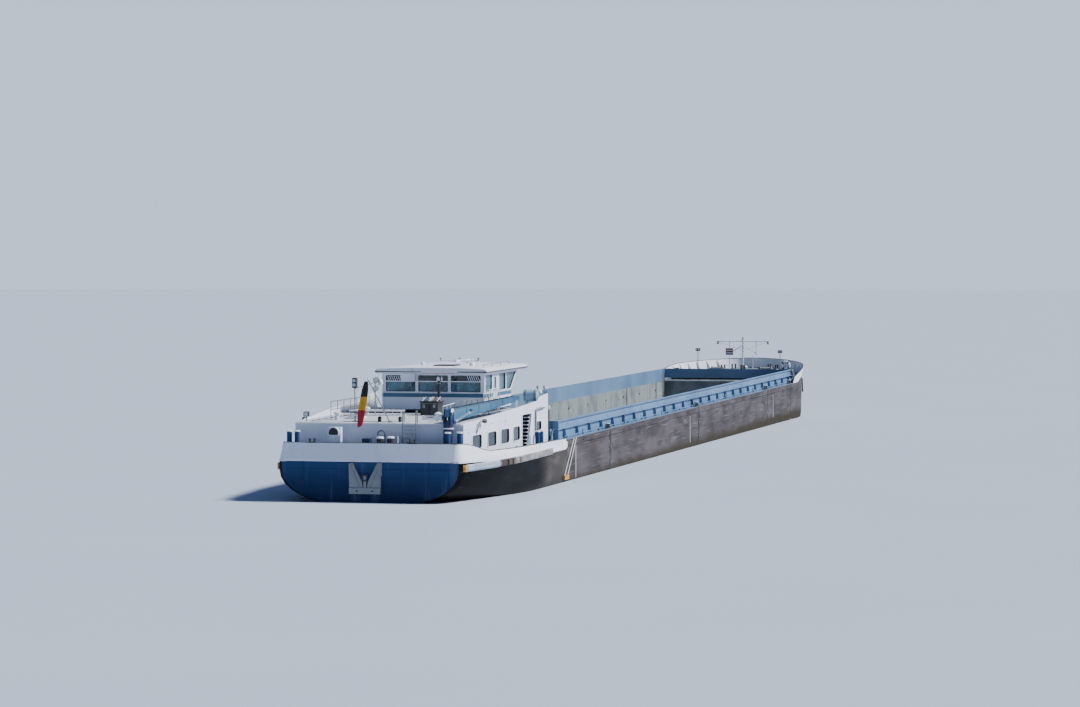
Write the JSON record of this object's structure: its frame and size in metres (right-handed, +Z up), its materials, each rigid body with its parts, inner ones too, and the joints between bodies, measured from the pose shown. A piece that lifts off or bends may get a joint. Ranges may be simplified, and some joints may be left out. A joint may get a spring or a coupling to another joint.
{
  "type": "self-propelled motor cargo barge, 1:10 scale model",
  "caption": "Long flat-bottomed river barge with an open hold, coamings, aft deckhouse, lifting wheelhouse, deck crane, bow mast, propeller in a nozzle and rudders.",
  "frame": {"origin": "under the middle of the whole barge, on the plane of its flat bottom", "axes": "+X towards the bow, +Y to port, +Z up"},
  "size_m": [11.0002, 1.17, 0.796],
  "materials": {
    "hull_navy": "weathered navy ship paint",
    "hull_grey": "scraped and weathered grey hull paint",
    "hold_paint": "worn hold paint with rust",
    "coaming_blue": "satin light blue paint",
    "white_paint": "satin white marine enamel",
    "strake_grey": "scuffed light grey paint",
    "deck_paint": "non-slip deck paint",
    "dark_paint": "dark grey paint",
    "galvanised": "galvanised steel",
    "crane_navy": "gloss navy paint",
    "boom_blue": "satin blue-grey paint",
    "bronze": "cast propeller bronze",
    "winch_grey": "greasy grey paint",
    "liferaft_grey": "moulded glass-fibre drum",
    "flag_cloth": "woven flag cloth in black, yellow and red",
    "timber": "rough fender timber and rope"
  },
  "bodies": {
    "hull": {"aft_hull": "hull_navy", "fore_hull": "hull_grey", "double_bottom": "hold_paint", "wing_port": "hull_grey", "wing_starboard": "hull_grey", "coaming_port": "coaming_blue", "coaming_starboard": "coaming_blue", "coaming_aft": "coaming_blue", "coaming_fore": "coaming_blue", "bulwark_stern": "white_paint", "bulwark_bow": "white_paint", "strake_port": "strake_grey", "strake_starboard": "strake_grey", "house_wall_port": "white_paint", "house_wall_starboard": "white_paint", "house_wall_aft": "white_paint", "house_wall_fore": "white_paint", "house_roof": "deck_paint", "stair": "dark_paint", "lift_trunk": "galvanised", "nozzle": "dark_paint", "anchor_stern": "galvanised", "anchor_bow_port": "dark_paint", "anchor_bow_starboard": "dark_paint", "ladder": "galvanised", "cowl_vent": "white_paint", "winch_stern": "winch_grey", "winch_bow_port": "winch_grey", "winch_bow_starboard": "winch_grey", "roof_rail_starboard": "galvanised", "roof_rail_port": "galvanised", "roof_locker": "dark_paint", "radar_mast": "dark_paint", "liferaft": "liferaft_grey", "flagstaff": "galvanised", "flag": "flag_cloth", "fender_port": "timber", "fender_starboard": "timber", "breakwater": "dark_paint"},
    "wheelhouse": {"lift_column": "galvanised", "wheelhouse_floor": "dark_paint", "wheelhouse_wall_port": "white_paint", "wheelhouse_wall_starboard": "white_paint", "wheelhouse_wall_aft": "white_paint", "wheelhouse_wall_fore": "white_paint", "wheelhouse_roof": "white_paint"},
    "wheelhouse_door": {"wheelhouse_door": "white_paint"},
    "radar": {"radar_scanner": "white_paint"},
    "roof_mast": {"roof_mast": "white_paint"},
    "house_door": {"house_door": "white_paint"},
    "crane": {"crane_column": "crane_navy"},
    "boom": {"crane_boom": "boom_blue"},
    "ram_barrel": {"crane_cylinder": "coaming_blue"},
    "ram_rod": {"crane_rod": "galvanised"},
    "propeller": {"propeller": "bronze"},
    "rudder_port": {"rudder_port": "dark_paint"},
    "rudder_starboard": {"rudder_starboard": "dark_paint"},
    "hatch_engine": {"hatch_engine": "deck_paint"},
    "hatch_forepeak": {"hatch_forepeak": "deck_paint"},
    "bow_mast": {"bow_mast": "white_paint"}
  },
  "joints": [
    {"name": "wheelhouse_lift", "type": "slide", "parent": "hull", "child": "wheelhouse", "axis": [0, 0, 1], "range_m": [0, 0.4]},
    {"name": "wheelhouse_door_hinge", "type": "hinge", "parent": "wheelhouse", "child": "wheelhouse_door", "pos_m": [-4.15, -0.28, 0.64], "axis": [0, 0, 1], "range_deg": [-100, 0]},
    {"name": "radar_spin", "type": "hinge", "parent": "hull", "child": "radar", "pos_m": [-4.49, -0.077, 0.74], "axis": [0, 0, 1], "continuous": true},
    {"name": "roof_mast_fold", "type": "hinge", "parent": "wheelhouse", "child": "roof_mast", "pos_m": [-3.58, 0, 0.782], "axis": [0, 1, 0], "range_deg": [0, 90]},
    {"name": "house_door_hinge", "type": "hinge", "parent": "hull", "child": "house_door", "pos_m": [-4.222, 0.485, 0.445], "axis": [0, 0, 1], "range_deg": [-100, 0]},
    {"name": "crane_slew", "type": "hinge", "parent": "hull", "child": "crane", "pos_m": [-5.38, -0.375, 0.4], "axis": [0, 0, 1], "range_deg": [-180, 0]},
    {"name": "crane_luff", "type": "hinge", "parent": "crane", "child": "boom", "pos_m": [-5.385, -0.375, 0.583], "axis": [0, -1, 0], "range_deg": [0, 70]},
    {"name": "ram_swing", "type": "hinge", "parent": "crane", "child": "ram_barrel", "pos_m": [-5.372, -0.409, 0.541], "axis": [0, -1, 0], "range_deg": [0, 67]},
    {"name": "ram_slide", "type": "slide", "parent": "ram_barrel", "child": "ram_rod", "axis": [0.9929, 0, 0.119], "range_m": [0, 0.0465]},
    {"name": "propeller_spin", "type": "hinge", "parent": "hull", "child": "propeller", "pos_m": [-4.94, 0, 0.092], "axis": [1, 0, 0], "continuous": true},
    {"name": "rudder_port_turn", "type": "hinge", "parent": "hull", "child": "rudder_port", "pos_m": [-5.2, 0.045, 0.08], "axis": [0, 0, 1], "range_deg": [-60, 60]},
    {"name": "rudder_starboard_turn", "type": "hinge", "parent": "hull", "child": "rudder_starboard", "pos_m": [-5.2, -0.045, 0.08], "axis": [0, 0, 1], "range_deg": [-60, 60]},
    {"name": "hatch_engine_hinge", "type": "hinge", "parent": "hull", "child": "hatch_engine", "pos_m": [-5.369, 0.325, 0.3643], "axis": [0, 1, 0], "range_deg": [0, 100]},
    {"name": "hatch_forepeak_hinge", "type": "hinge", "parent": "hull", "child": "hatch_forepeak", "pos_m": [4.582, 0, 0.4123], "axis": [0, 1, 0], "range_deg": [0, 100]},
    {"name": "bow_mast_fold", "type": "hinge", "parent": "hull", "child": "bow_mast", "pos_m": [4.97, 0, 0.45], "axis": [0, -1, 0], "range_deg": [0, 90]}
  ],
  "couplings": [
    {"joint": "ram_swing", "follows": "crane_luff", "ratio": 0.95596},
    {"joint": "ram_slide", "follows": "crane_luff", "m_per_rad": 0.037987},
    {"joint": "rudder_starboard_turn", "follows": "rudder_port_turn", "ratio": 1}
  ]
}
